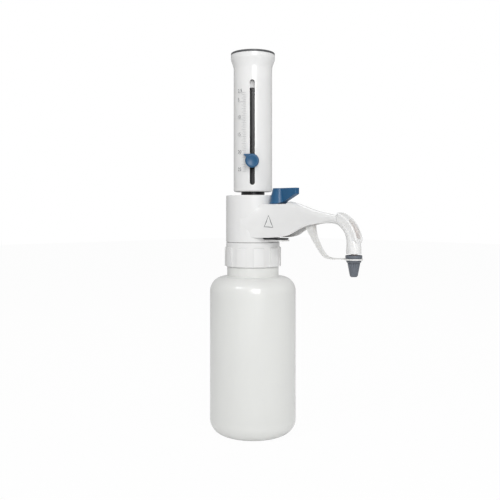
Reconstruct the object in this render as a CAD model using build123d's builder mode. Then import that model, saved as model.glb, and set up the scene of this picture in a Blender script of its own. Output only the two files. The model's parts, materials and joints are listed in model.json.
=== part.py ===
from build123d import *
import math
import os

# Bottle-top dispenser on its reservoir bottle. Millimetres, +Z up, origin at the centre of the
# bottle's base, discharge arm along +X.

# Bottle
bottle_radius = 41.3
bottle_height = 177.4
bottle_wall = 1.8
bottle_base_round = 13.0
neck_shelf = 2.5
shoulder_drop = 28.0
neck_ring_radius = 24.8
neck_radius = 22.3
neck_wall = 2.0
neck_fillet = 1.6

# Screw collar
collar_height = 23.0
collar_grip_height = 18.6
collar_radius = 25.7
collar_relief = 1.35
collar_web = 2.1
collar_lobes = 10
collar_groove_angle = 14.0
collar_groove_turn = -49.0
collar_thread_gap = 0.4
neck_gap = 0.4

# Neck gasket and valve block
gasket_height = 1.2
gasket_inner_radius = 16.0
flange_height = 1.4
seat_gap = 0.15

# Pump housing
housing_radius = 25.8
housing_height = 44.4
housing_wall = 2.2
housing_deck = 2.4
housing_seam = 0.4
housing_edge_round = 0.9
fit_gap = 0.3

# Discharge arm
arm_wall = 1.7
outlet_height = 22.5
bend_start = 100.2
bend_radius = 23.0
arm_end_drop = 29.2
arm_end_radius = 6.25
arm_neck_half_width = 4.6
arm_open_end = 92.0
window_half_width = 3.0
window_from_angle = 40.0
window_to_angle = 78.0
bezel_from_angle = 14.0
bezel_to_angle = 84.0
bezel_rise = 6.6
bezel_half_width = 5.0
bezel_corner = 3.6
bezel_round = 1.0
ledge_reach = 43.6
ledge_half_width = 7.0
ledge_thickness = 1.3
ledge_lift = 1.5

# Valve lever
lever_axis = 35.2
lever_base_radius = 8.9
lever_top_radius = 5.6
lever_height = 14.4
lever_reach = 23.6
lever_half_width = 2.7
lever_tip_height = 5.4
lever_slope_start = 4.4
lever_tip_round = 0.9
lever_edge_round = 0.5
lever_wall = 1.6
platform_height = 35.8
platform_radius = 15.5
arm_way_width = 20.0
arm_way_height = 34.0
arm_way_depth = 6.0

# Barrel and piston
bore_radius = 9.825
barrel_wall = 1.0
jacket_radius = 11.25
jacket_wall = 0.35
barrel_length = 129.0
barrel_seat_height = 21.3
stop_ring_height = 7.6
stop_ring_drop = 4.0
running_gap = 0.05
piston_gap = 0.03
piston_length = 9.0
piston_rest_gap = 1.0
rod_radius = 4.5
mm_per_ml = 3.298
set_volume = 20.0

# Plunger sleeve
sleeve_radius = 18.5
sleeve_wall = 2.2
sleeve_lift = 3.4
sleeve_head_room = 28.7
sleeve_bottom_round = 1.5
flare_radius = 21.2
flare_drop = 13.7
rim_height = 3.4
slot_width = 4.7
slot_bottom = 6.2
slot_top_rise = 6.9
slot_direction = -45.0
disc_thickness = 2.3
disc_round = 0.9
head_plate_height = 6.0
head_plate_depth = 12.0

# Volume slider
knob_radius = 6.45
knob_height = 5.4
knob_dish = 0.7
knob_dish_radius = 4.8
screw_radius = 1.75
plate_radius = 6.1
plate_thickness = 2.2
pointer_reach = 8.1
pointer_height = 2.6
pointer_tip = 0.7
foot_width = 8.0
foot_height = 8.0
foot_thickness = 2.4
tongue_gap = 0.25

# Valves and tubes
ball_radius = 2.4
small_ball_radius = 1.9
seat_hole_radius = 1.4
channel_radius = 1.3
inlet_seat_height = 3.4
discharge_valve_x = 18.4
discharge_chamber_radius = 3.0
spindle_radius = 4.0
spindle_neck_radius = 3.4
ring_section = 0.85
tube_radius = 2.2
tube_bore = 1.3
nozzle_radius = 2.7
nozzle_length = 12.0
suction_radius = 3.5
suction_wall = 0.6
lower_suction_wall = 0.7
suction_upper_length = 84.0
suction_overlap = 14.0
suction_floor_gap = 4.0
return_radius = 2.0
return_x = 11.0
return_length = 22.0

# Nozzle cap and tether
cap_flange_radius = 7.05
cap_flange_height = 2.9
cap_body_radius = 5.55
cap_tip_radius = 3.1
cap_mouth_radius = 5.9
cap_flute_radius = 1.05
cap_length = 18.2
cap_gap = 1.0
cap_flutes = 10
cap_flute_turn = 11.0
ring_height = 1.2
ring_reach = 0.45
strap_root_x = 74.0
strap_root_width = 11.0
strap_half_width = 2.8
strap_end_half_width = 1.5

# Levels worked out from the sizes above
shoulder_round = bottle_radius - neck_ring_radius - neck_shelf
shoulder_top = bottle_height - shoulder_drop
mouth_z = bottle_height
flange_z = mouth_z + gasket_height
web_z = flange_z + flange_height + seat_gap
collar_top = web_z + collar_web
collar_bottom = collar_top - collar_height
housing_z = collar_top + housing_seam
housing_top = housing_z + housing_height
outlet_z = housing_z + outlet_height
barrel_z = housing_z + barrel_seat_height
block_top = barrel_z + 4.5
barrel_top = barrel_z + barrel_length
stop_z = barrel_top - stop_ring_drop
sleeve_z = housing_top + sleeve_lift
sleeve_top = barrel_top + sleeve_head_room
slot_length = stop_z + slot_top_rise - sleeve_z - slot_bottom
platform_z = housing_z + platform_height
ledge_top = housing_z + ledge_lift + ledge_thickness
arm_way_top = housing_z + arm_way_height
lever_z = platform_z + fit_gap
arm_end_z = outlet_z - arm_end_drop
nozzle_x = bend_start + bend_radius
bend_z = outlet_z - bend_radius
cap_top = arm_end_z - cap_gap
housing_inner = housing_radius - housing_wall
sleeve_inner = sleeve_radius - sleeve_wall
barrel_radius = bore_radius + barrel_wall
foot_outer = sleeve_inner - fit_gap
foot_inner = foot_outer - foot_thickness
foot_top = stop_z - set_volume * mm_per_ml
knob_z = foot_top - foot_height / 2
pointer_z = stop_z - (set_volume - 0.8) * mm_per_ml

os.makedirs("parts", exist_ok=True)
pieces = []


def keep(builder, name):
    """Labels a finished piece and remembers it for writing."""
    builder.part.label = name
    pieces.append(builder.part)


def tube(bottom, top, outer, inner):
    """A plain tube between two heights, added to the part being built."""
    with BuildSketch(Plane.XY.offset(bottom)) as ring:
        Circle(outer)
        Circle(inner, mode=Mode.SUBTRACT)
    extrude(ring.sketch, amount=top - bottom)


def o_ring(radius, section, height):
    """A round seal lying flat at a height, added to the part being built."""
    with BuildSketch(Plane.XZ) as section_sketch:
        with Locations((radius, height)):
            Circle(section)
    revolve(section_sketch.sketch, axis=Axis.Z)


# Reservoir bottle: one wall revolved, flat base, threaded neck inside the collar
neck_inner = neck_radius - neck_wall
neck_ring_top = collar_bottom - neck_gap
with BuildPart() as bottle:
    with BuildSketch(Plane.XZ) as bottle_profile:
        with BuildLine():
            Line((0, 0), (bottle_radius - bottle_base_round, 0))
            RadiusArc(
                (bottle_radius - bottle_base_round, 0),
                (bottle_radius, bottle_base_round),
                -bottle_base_round,
            )
            Line((bottle_radius, bottle_base_round), (bottle_radius, shoulder_top - shoulder_round))
            RadiusArc(
                (bottle_radius, shoulder_top - shoulder_round),
                (bottle_radius - shoulder_round, shoulder_top),
                -shoulder_round,
            )
            Line((bottle_radius - shoulder_round, shoulder_top), (neck_ring_radius, shoulder_top))
            Line((neck_ring_radius, shoulder_top), (neck_ring_radius, neck_ring_top))
            Line((neck_ring_radius, neck_ring_top), (0, neck_ring_top))
            Line((0, neck_ring_top), (0, 0))
        make_face()
        fillet(
            bottle_profile.vertices().group_by(Axis.Y)[-2].sort_by(Axis.X)[0],
            radius=neck_fillet,
        )
    revolve(axis=Axis.Z)
    offset(amount=-bottle_wall, openings=bottle.faces().sort_by(Axis.Z)[-1])
    with BuildSketch(Plane.XY.offset(neck_ring_top - bottle_wall)):
        Circle(neck_ring_radius)
        Circle(neck_inner, mode=Mode.SUBTRACT)
    extrude(amount=bottle_wall)
    tube(neck_ring_top, mouth_z, neck_radius, neck_inner)
keep(bottle, "bottle")

# Neck gasket between the bottle's mouth and the valve block
with BuildPart() as neck_gasket:
    tube(mouth_z, flange_z, neck_radius - 0.3, gasket_inner_radius)
keep(neck_gasket, "neck_gasket")

# Screw collar with wide grip lobes
collar_bore = neck_radius + collar_thread_gap
web_radius = collar_bore - 3.0
with BuildPart() as screw_collar:
    with BuildSketch(Plane.XY.offset(collar_bottom)):
        Circle(collar_radius + collar_relief)
    extrude(amount=collar_grip_height)
    chamfer(screw_collar.edges().group_by(Axis.Z)[-1], length=0.9)
    fillet(screw_collar.edges().group_by(Axis.Z)[0], radius=0.6)
    with BuildSketch(Plane.XY.offset(collar_bottom)):
        Circle(collar_radius)
    extrude(amount=collar_height)
    fillet(screw_collar.edges().group_by(Axis.Z)[-1], radius=0.5)
    with BuildSketch(Plane.XY.offset(collar_bottom)):
        with PolarLocations(
            collar_radius + 3.0, collar_lobes, start_angle=collar_groove_turn
        ):
            Trapezoid(
                2 * (collar_radius + 3.0) * math.tan(math.radians(collar_groove_angle / 2)),
                6.0,
                80,
                rotation=-90,
            )
        Circle(collar_radius, mode=Mode.SUBTRACT)
    extrude(amount=collar_grip_height, mode=Mode.SUBTRACT)
    with BuildSketch(Plane.XY.offset(collar_bottom)):
        Circle(collar_bore)
    extrude(amount=web_z - collar_bottom, mode=Mode.SUBTRACT)
    with BuildSketch(Plane.XY.offset(web_z)):
        Circle(web_radius)
    extrude(amount=collar_web, mode=Mode.SUBTRACT)
keep(screw_collar, "screw_collar")

# Discharge arm: stations along the arm as (x, top, bottom, half width), heights above the
# housing's foot. The horn leaves the drum wide and narrows to the bend. Its sections reach
# lower than the arm, which ends below at the underside line with straight flanks.
arm_stations = [
    (8.0, 39.0, -14.0, 24.2),
    (16.0, 39.2, -14.0, 20.6),
    (25.0, 39.1, -13.5, 15.9),
    (34.0, 39.0, -12.0, 12.4),
    (46.0, 38.6, -8.0, 9.4),
    (60.0, 36.1, 1.5, 7.1),
    (80.0, 30.2, 13.0, 5.4),
    (bend_start, outlet_height + 3.9, outlet_height - 3.9, arm_neck_half_width),
]
# Underside line as (x, height above the housing's foot)
arm_underside = [
    (0.0, 4.6),
    (21.0, 4.7),
    (45.0, 5.7),
    (55.0, 7.9),
    (61.6, 11.1),
    (70.5, 15.1),
    (80.0, 17.4),
    (90.0, 18.6),
    (bend_start, outlet_height - 4.0),
]
# Bend stations as (angle, reach outward, reach inward, half width), seen from the bend's centre
bend_stations = [
    (30.0, 3.8, 4.3, 4.9),
    (60.0, 5.0, 4.8, 5.6),
    (90.0, 6.1, 6.1, 6.1),
]


def arm_section(plane, half_width, half_height, squareness):
    """A smooth closed outline between an ellipse (2) and a rounded box (3 and more)."""
    points = []
    for step in range(12):
        turn = math.radians(30.0 * step)
        across = math.copysign(abs(math.cos(turn)) ** (2 / squareness), math.cos(turn))
        along = math.copysign(abs(math.sin(turn)) ** (2 / squareness), math.sin(turn))
        points.append((half_width * across, half_height * along))
    with BuildSketch(plane) as section:
        with BuildLine():
            Spline(points, periodic=True)
        make_face()
    return section.sketch


def upright_plane(x, z):
    """A plane across the arm: local x runs along -Y, local y runs up."""
    return Plane(origin=(x, 0, z), x_dir=(0, -1, 0), z_dir=(-1, 0, 0))


def bend_plane(angle, shift):
    """A plane across the bend at an angle from its top, moved outward by shift."""
    turn = math.radians(angle)
    reach = bend_radius + shift
    return Plane(
        origin=(bend_start + reach * math.sin(turn), 0, bend_z + reach * math.cos(turn)),
        x_dir=(0, -1, 0),
        z_dir=(-math.cos(turn), 0, math.sin(turn)),
    )


def bend_sector(inner, outer, half_width, from_angle, to_angle, corner):
    """A ring segment around the bend's centre with rounded ends, from the top of the bend."""
    bend_axis = Axis((bend_start, 0, bend_z), (0, 1, 0))
    with BuildPart() as sector:
        with BuildSketch(bend_plane(from_angle, 0)) as section:
            with Locations((0, (inner + outer) / 2 - bend_radius)):
                Rectangle(2 * half_width, outer - inner)
        revolve(section.sketch, axis=bend_axis, revolution_arc=to_angle - from_angle)
        straight = sector.edges().filter_by(GeomType.LINE)
        across = straight.filter_by(Axis.Y)
        fillet([edge for edge in straight if edge not in across], radius=corner)
    return sector


def tube_path(start_x, end_z):
    """The discharge tube's line: straight along the arm, round the bend, down to the nozzle."""
    diagonal = bend_radius * math.sqrt(0.5)
    with BuildLine() as path:
        Line((start_x, 0, outlet_z), (bend_start, 0, outlet_z))
        ThreePointArc(
            (bend_start, 0, outlet_z),
            (bend_start + diagonal, 0, bend_z + diagonal),
            (nozzle_x, 0, bend_z),
        )
        Line((nozzle_x, 0, bend_z), (nozzle_x, 0, end_z))
    return path.wires()[0]


# Pump housing: the drum with the horn-shaped arm cover moulded on
arm_sections = []
for x, top, bottom, half_width in arm_stations:
    middle = housing_z + (top + bottom) / 2
    squareness = 2.9 if x < bend_start else 2.2
    arm_sections.append(
        arm_section(upright_plane(x, middle), half_width, (top - bottom) / 2, squareness)
    )
for angle, outward, inward, half_width in bend_stations:
    middle_plane = bend_plane(angle, (outward - inward) / 2)
    arm_sections.append(arm_section(middle_plane, half_width, (outward + inward) / 2, 2.0))
end_plane = Plane(origin=(nozzle_x, 0, arm_end_z), x_dir=(0, -1, 0), z_dir=(0, 0, 1))
arm_sections.append(arm_section(end_plane, arm_end_radius, arm_end_radius, 2.0))
with BuildPart() as arm_solid:
    loft(arm_sections)
    with BuildSketch(Plane.XZ):
        with BuildLine():
            line_points = [(x, housing_z + height) for x, height in arm_underside]
            Spline(*line_points)
            Polyline(line_points[-1], (bend_start, 0), (0, 0), line_points[0])
        make_face()
    extrude(amount=2 * housing_radius, both=True, mode=Mode.SUBTRACT)

hollow_sections = []
for x, top, bottom, half_width in arm_stations[:-1]:
    ceiling = housing_z + min(top, platform_height) - arm_wall
    floor = housing_z + bottom
    hollow_sections.append(
        arm_section(
            upright_plane(x, (ceiling + floor) / 2), half_width - arm_wall, (ceiling - floor) / 2, 2.9
        )
    )
hollow_end = upright_plane(arm_open_end, outlet_z - 4.5)
hollow_sections.append(arm_section(hollow_end, arm_neck_half_width - arm_wall, 7.0, 2.9))
with BuildPart() as arm_hollow:
    loft(hollow_sections)

bezel_top = bend_radius + bezel_rise
bezel = bend_sector(
    bend_radius, bezel_top, bezel_half_width, bezel_from_angle, bezel_to_angle, bezel_corner
)
with bezel:
    fillet(bezel.faces().sort_by(SortBy.AREA)[-1].edges(), radius=bezel_round)
window = bend_sector(
    bend_radius + 1.0, bezel_top + 4.0, window_half_width,
    window_from_angle, window_to_angle, window_half_width - 0.4,
)

with BuildPart() as housing:
    add(arm_solid.part)
    add(bezel.part)
    add(arm_hollow.part, mode=Mode.SUBTRACT)
    with BuildSketch(Plane.XY.offset(housing_z)):
        Circle(housing_radius)
    extrude(amount=housing_height)
    fillet(
        housing.edges().filter_by(GeomType.CIRCLE).group_by(Axis.Z)[-1],
        radius=housing_edge_round,
    )
    with BuildSketch(Plane.XY.offset(platform_z)):
        with Locations((lever_axis, 0)):
            Circle(platform_radius)
        Circle(housing_radius, mode=Mode.SUBTRACT)
    extrude(amount=lever_height, mode=Mode.SUBTRACT)
    with BuildSketch(Plane.XY.offset(housing_z + ledge_lift)):
        with Locations((ledge_reach / 2, 0)):
            RectangleRounded(ledge_reach, 2 * ledge_half_width, 3.0)
    extrude(amount=ledge_thickness)
    with BuildSketch(Plane.XY.offset(housing_z)):
        Circle(housing_inner)
    extrude(amount=housing_height - housing_deck, mode=Mode.SUBTRACT)
    # way from the drum into the arm
    with BuildSketch(Plane.YZ.offset(housing_inner - arm_way_depth)):
        with Locations((0, (arm_way_top + ledge_top) / 2)):
            RectangleRounded(arm_way_width, arm_way_top - ledge_top, 2.0)
    extrude(amount=arm_way_depth + housing_wall + 1.0, mode=Mode.SUBTRACT)
    # barrel opening in the deck and spindle hole in the lever's platform
    with BuildSketch(Plane.XY.offset(housing_top - housing_deck)):
        Circle(jacket_radius + fit_gap)
    extrude(amount=housing_deck, mode=Mode.SUBTRACT)
    with BuildSketch(Plane.XY.offset(platform_z - 8.0)):
        with Locations((lever_axis, 0)):
            Circle(spindle_neck_radius + fit_gap)
    extrude(amount=9.0, mode=Mode.SUBTRACT)
    # tunnel for the discharge tube and the window over it
    tunnel_path = tube_path(arm_open_end - 4.0, arm_end_z - 1.0)
    with BuildSketch(upright_plane(arm_open_end - 4.0, outlet_z)) as tunnel_section:
        Circle(tube_radius + fit_gap)
    sweep(tunnel_section.sketch, path=tunnel_path, mode=Mode.SUBTRACT)
    add(window.part, mode=Mode.SUBTRACT)
    with BuildSketch(Plane.XY.offset(arm_end_z)):
        with Locations((nozzle_x, 0)):
            Circle(nozzle_radius + fit_gap)
    extrude(amount=nozzle_length - 6.5, mode=Mode.SUBTRACT)
keep(housing, "housing")

# Valve block: flange on the bottle's mouth, body in the drum, boss under the lever
boss_half_width = 6.4
boss_height = 30.0
foot_plate_height = 1.3
boss_end = ledge_reach - 0.4
seat_fit = running_gap
inlet_bore = ball_radius + 2.1
inlet_seat_top = flange_z + 9.0
inlet_chamber_top = inlet_seat_top + 2 * ball_radius + 2.6
low_channel_z = inlet_chamber_top + channel_radius
discharge_seat_z = low_channel_z + channel_radius + 0.4
discharge_seat_top = discharge_seat_z + 1.8
ring_seat_depth = 2.4
barrel_ring_radius = barrel_radius + running_gap + ring_section
spindle_ring_radius = spindle_neck_radius + running_gap + ring_section
boss_top = housing_z + boss_height
foot_plate_z = ledge_top + 0.2
spindle_foot = outlet_z - 5.6
with BuildPart() as valve_block:
    tube(flange_z, flange_z + flange_height, neck_radius - 0.3, inlet_bore)
    tube(flange_z, housing_z + fit_gap, web_radius - fit_gap, inlet_bore)
    with BuildSketch(Plane.XY.offset(housing_z + fit_gap)):
        Circle(housing_inner - fit_gap)
    extrude(amount=block_top - housing_z - fit_gap)
    with BuildSketch(Plane.XY.offset(outlet_z - 7.6)):
        with Locations((boss_end / 2, 0)):
            Rectangle(boss_end, 2 * boss_half_width)
    extrude(amount=boss_top - outlet_z + 7.6)
    fillet(
        valve_block.edges().filter_by(Axis.Z).sort_by(Axis.X)[-2:],
        radius=4.0,
    )
    with BuildSketch(Plane.XY.offset(foot_plate_z)):
        with Locations((ledge_reach / 2, 0)):
            RectangleRounded(ledge_reach - 1.0, 2 * ledge_half_width - 0.8, 3.0)
    extrude(amount=foot_plate_height)
    with BuildSketch(Plane.XY.offset(barrel_z)):
        Circle(barrel_radius + running_gap)
    extrude(amount=boss_top - barrel_z + 5, mode=Mode.SUBTRACT)
    with BuildSketch(Plane.XY.offset(block_top)):
        Circle(housing_inner - fit_gap)
    extrude(amount=boss_top - block_top + 5, mode=Mode.SUBTRACT)
    with BuildSketch(Plane.XY.offset(block_top - ring_seat_depth)):
        Circle(barrel_ring_radius + ring_section + running_gap)
    extrude(amount=ring_seat_depth, mode=Mode.SUBTRACT)
    # inlet way: seat bore, ball chamber, channel up to the barrel
    with BuildSketch(Plane.XY.offset(flange_z)):
        Circle(inlet_bore)
    extrude(amount=inlet_seat_top - flange_z, mode=Mode.SUBTRACT)
    with BuildSketch(Plane.XY.offset(inlet_seat_top)):
        Circle(ball_radius + 0.9)
    extrude(amount=inlet_chamber_top - inlet_seat_top, mode=Mode.SUBTRACT)
    with BuildSketch(Plane.XY.offset(inlet_chamber_top)):
        Circle(channel_radius)
    extrude(amount=barrel_z - inlet_chamber_top, mode=Mode.SUBTRACT)
    # discharge way: low channel, valve chamber, high channel through the spindle to the tube
    with BuildSketch(Plane.YZ):
        with Locations((0, low_channel_z)):
            Circle(channel_radius)
    extrude(amount=discharge_valve_x, mode=Mode.SUBTRACT)
    with BuildSketch(Plane.XY.offset(low_channel_z - channel_radius)):
        with Locations((discharge_valve_x, 0)):
            Circle(discharge_chamber_radius)
    extrude(amount=block_top - low_channel_z + channel_radius, mode=Mode.SUBTRACT)
    with BuildSketch(Plane.YZ.offset(discharge_valve_x)):
        with Locations((0, outlet_z)):
            Circle(channel_radius)
    extrude(amount=boss_end - discharge_valve_x, mode=Mode.SUBTRACT)
    # spindle bore with the seat of its ring at the top
    with BuildSketch(Plane.XY.offset(spindle_foot - running_gap)):
        with Locations((lever_axis, 0)):
            Circle(spindle_radius + running_gap)
    extrude(amount=boss_top - spindle_foot + 1, mode=Mode.SUBTRACT)
    with BuildSketch(Plane.XY.offset(boss_top - ring_seat_depth)):
        with Locations((lever_axis, 0)):
            Circle(spindle_ring_radius + ring_section + running_gap)
    extrude(amount=ring_seat_depth, mode=Mode.SUBTRACT)
    # return way beside the inlet, straight down into the bottle
    with BuildSketch(Plane.XY.offset(flange_z)):
        with Locations((return_x, 0)):
            Circle(return_radius + running_gap)
    extrude(amount=6.0, mode=Mode.SUBTRACT)
keep(valve_block, "valve_block")

# Suction nipple, screwed up into the block, and the inlet valve above it
nipple_length = 9.0
nipple_top = inlet_seat_top - inlet_seat_height
with BuildPart() as suction_nipple:
    tube(flange_z, nipple_top, inlet_bore - seat_fit, seat_hole_radius)
    tube(flange_z - nipple_length, flange_z, suction_radius - suction_wall - running_gap, seat_hole_radius)
keep(suction_nipple, "suction_nipple")

with BuildPart() as inlet_valve_seat:
    tube(nipple_top, inlet_seat_top, inlet_bore - seat_fit, seat_hole_radius)
    chamfer(
        inlet_valve_seat.edges().group_by(Axis.Z)[-1].sort_by(SortBy.RADIUS)[0],
        length=0.8,
    )
keep(inlet_valve_seat, "inlet_valve_seat")


def ball_height(seat_top, hole_radius, chamfer_length, radius):
    """Centre height of a ball resting on a 45 degree seat around a hole."""
    return seat_top - chamfer_length - hole_radius + radius * math.sqrt(2)


seat_chamfer = 0.8
inlet_ball_z = ball_height(inlet_seat_top, seat_hole_radius, seat_chamfer, ball_radius) + running_gap
with BuildPart() as inlet_valve_ball:
    with Locations((0, 0, inlet_ball_z)):
        Sphere(ball_radius)
keep(inlet_valve_ball, "inlet_valve_ball")

# Discharge valve beside it: seat, ball, spring and plug
with BuildPart() as discharge_valve_seat:
    with BuildSketch(Plane.XY.offset(discharge_seat_z)):
        with Locations((discharge_valve_x, 0)):
            Circle(discharge_chamber_radius - seat_fit)
            Circle(channel_radius, mode=Mode.SUBTRACT)
    extrude(amount=discharge_seat_top - discharge_seat_z)
    chamfer(
        discharge_valve_seat.edges().group_by(Axis.Z)[-1].sort_by(SortBy.RADIUS)[0],
        length=seat_chamfer / 2,
    )
keep(discharge_valve_seat, "discharge_valve_seat")

small_ball_z = ball_height(discharge_seat_top, channel_radius, seat_chamfer / 2, small_ball_radius)
small_ball_z += running_gap
with BuildPart() as discharge_valve_ball:
    with Locations((discharge_valve_x, 0, small_ball_z)):
        Sphere(small_ball_radius)
keep(discharge_valve_ball, "discharge_valve_ball")

plug_foot = block_top - 1.2
spring_foot = small_ball_z + small_ball_radius + 0.35
spring_wire = 0.25
spring_turns = 3.0
with BuildPart() as discharge_valve_spring:
    with BuildLine():
        Helix(
            pitch=(plug_foot - spring_foot - 0.35) / spring_turns,
            height=plug_foot - spring_foot - 0.35,
            radius=1.5,
            center=(discharge_valve_x, 0, spring_foot),
        )
    with BuildSketch(Plane(origin=(discharge_valve_x + 1.5, 0, spring_foot), z_dir=(0, 1, 0.1))):
        Circle(spring_wire)
    sweep(is_frenet=True)
keep(discharge_valve_spring, "discharge_valve_spring")

with BuildPart() as discharge_valve_plug:
    with BuildSketch(Plane.XY.offset(plug_foot)):
        with Locations((discharge_valve_x, 0)):
            Circle(discharge_chamber_radius - seat_fit)
    extrude(amount=block_top - plug_foot)
    with BuildSketch(Plane.XY.offset(block_top)):
        with Locations((discharge_valve_x, 0)):
            Circle(discharge_chamber_radius + 0.6)
    extrude(amount=1.8)
    with BuildSketch(Plane.XY.offset(block_top + 1.8)):
        with Locations((discharge_valve_x, 0)):
            Rectangle(5.0, 0.9)
    extrude(amount=-0.8, mode=Mode.SUBTRACT)
keep(discharge_valve_plug, "discharge_valve_plug")

# Glass barrel, its seal, its nut and the dark jacket around it
with BuildPart() as glass_barrel:
    tube(barrel_z, barrel_top, barrel_radius, bore_radius)
keep(glass_barrel, "glass_barrel")

with BuildPart() as barrel_ring:
    o_ring(barrel_ring_radius, ring_section, block_top - ring_seat_depth + ring_section + running_gap)
keep(barrel_ring, "barrel_ring")

nut_height = 6.0
with BuildPart() as barrel_nut:
    with BuildSketch(Plane.XY.offset(block_top)):
        RegularPolygon(discharge_valve_x - discharge_chamber_radius - 0.9, 8, major_radius=True)
        Circle(barrel_radius + running_gap, mode=Mode.SUBTRACT)
    extrude(amount=nut_height)
keep(barrel_nut, "barrel_nut")

with BuildPart() as barrel_jacket:
    tube(block_top + nut_height + fit_gap, stop_z, jacket_radius, jacket_radius - jacket_wall)
keep(barrel_jacket, "barrel_jacket")

# Stop ring on the barrel, with a keyway for the slider's foot
slot_plane = Plane(
    origin=(0, 0, 0),
    x_dir=(-math.sin(math.radians(slot_direction)), math.cos(math.radians(slot_direction)), 0),
    z_dir=(math.cos(math.radians(slot_direction)), math.sin(math.radians(slot_direction)), 0),
)
slot_axis = Axis((0, 0, 0), slot_plane.z_dir)
keyway_floor = math.sqrt(foot_inner**2 - foot_width**2 / 4) - fit_gap
with BuildPart() as stop_ring:
    tube(stop_z, stop_z + stop_ring_height, sleeve_inner - fit_gap, barrel_radius + running_gap)
    with BuildSketch(slot_plane.offset(keyway_floor)):
        with Locations((0, stop_z + stop_ring_height / 2)):
            Rectangle(foot_width + 2 * fit_gap, 2 * stop_ring_height)
    extrude(amount=sleeve_radius, mode=Mode.SUBTRACT)
keep(stop_ring, "stop_ring")

# Piston: soft seal on a rod that hangs from the sleeve's head plate
piston_foot = barrel_z + piston_rest_gap
plate_z = sleeve_top - head_plate_depth
seal_wall = 1.4
with BuildPart() as piston_seal:
    with BuildSketch(Plane.XY.offset(piston_foot)):
        Circle(bore_radius - piston_gap)
    extrude(amount=piston_length)
    with BuildSketch(Plane.XY.offset(piston_foot + piston_length - seal_wall)):
        Circle(bore_radius - seal_wall)
        Circle(rod_radius + seal_wall, mode=Mode.SUBTRACT)
    extrude(amount=seal_wall, mode=Mode.SUBTRACT)
    with BuildSketch(Plane.XY.offset(piston_foot + 3.0)):
        Circle(rod_radius + running_gap)
    extrude(amount=piston_length, mode=Mode.SUBTRACT)
    with BuildSketch(Plane.XY.offset(piston_foot + 4.0)):
        Circle(bore_radius + 1)
        Circle(bore_radius - 0.8, mode=Mode.SUBTRACT)
    extrude(amount=2.0, mode=Mode.SUBTRACT)
keep(piston_seal, "piston_seal")

nut_seat_z = plate_z + head_plate_height
thread_radius = 3.0
with BuildPart() as piston_rod:
    with BuildSketch(Plane.XY.offset(piston_foot + 3.0)):
        Circle(rod_radius)
    extrude(amount=plate_z - piston_foot - 3.0)
    with BuildSketch(Plane.XY.offset(plate_z)):
        Circle(thread_radius)
    extrude(amount=head_plate_height + 3.0)
keep(piston_rod, "piston_rod")

# Sleeve: long tube with the slot, flared mouth at the top
with BuildPart() as sleeve:
    with BuildSketch(Plane.XZ) as sleeve_profile:
        with BuildLine():
            Line((sleeve_inner, sleeve_z), (sleeve_radius, sleeve_z))
            Line((sleeve_radius, sleeve_z), (sleeve_radius, sleeve_top - flare_drop))
            Spline(
                (sleeve_radius, sleeve_top - flare_drop),
                (flare_radius, sleeve_top - rim_height),
                tangents=((0, 1), (0.1, 1)),
                tangent_scalars=(1.2, 0.8),
            )
            Line((flare_radius, sleeve_top - rim_height), (flare_radius, sleeve_top))
            Line((flare_radius, sleeve_top), (sleeve_inner, sleeve_top))
            Line((sleeve_inner, sleeve_top), (sleeve_inner, sleeve_z))
        make_face()
    revolve(axis=Axis.Z)
    fillet(
        sleeve.edges().filter_by(GeomType.CIRCLE).group_by(Axis.Z)[0].sort_by(SortBy.RADIUS)[-1],
        radius=sleeve_bottom_round,
    )
    with BuildSketch(slot_plane):
        with Locations((0, sleeve_z + slot_bottom + slot_length / 2)):
            SlotOverall(slot_length, slot_width, rotation=90)
    extrude(amount=flare_radius, mode=Mode.SUBTRACT)
keep(sleeve, "sleeve")

with BuildPart() as head_plate:
    tube(plate_z, nut_seat_z, sleeve_inner - running_gap, thread_radius + running_gap)
keep(head_plate, "head_plate")

with BuildPart() as calibration_nut:
    with BuildSketch(Plane.XY.offset(nut_seat_z)):
        RegularPolygon(5.5, 6)
        Circle(thread_radius + running_gap, mode=Mode.SUBTRACT)
    extrude(amount=2.6)
keep(calibration_nut, "calibration_nut")

with BuildPart() as top_disc:
    with BuildSketch(Plane.XY.offset(sleeve_top)):
        Circle(flare_radius)
    extrude(amount=disc_thickness)
    fillet(top_disc.edges().group_by(Axis.Z)[-1], radius=disc_round)
    tube(nut_seat_z, sleeve_top, sleeve_inner - running_gap, sleeve_inner - 1.5)
keep(top_disc, "top_disc")

# Volume slider: plate with pointer outside, foot with tongue inside, thumb knob on a screw
plate_face = sleeve_radius + 0.2
hole_radius = screw_radius + 0.3
plate_wrap = 2.4
with BuildPart() as slider_plate:
    with BuildSketch(slot_plane.offset(plate_face - plate_wrap)):
        with Locations((0, knob_z)):
            Circle(plate_radius)
        with BuildLine():
            Polyline(
                (-pointer_reach, pointer_z),
                (0, pointer_z),
                (0, knob_z),
                (-plate_radius, knob_z),
                (-plate_radius, pointer_z - pointer_height),
                (-pointer_reach, pointer_z - pointer_tip),
                close=True,
            )
        make_face()
        with Locations((0, knob_z)):
            Circle(hole_radius, mode=Mode.SUBTRACT)
    extrude(amount=plate_wrap + plate_thickness)
    # hollow back that follows the sleeve
    with BuildSketch(Plane.XY.offset(knob_z - 2 * plate_radius)):
        Circle(plate_face)
    extrude(amount=4 * plate_radius, mode=Mode.SUBTRACT)
keep(slider_plate, "slider_plate")

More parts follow.
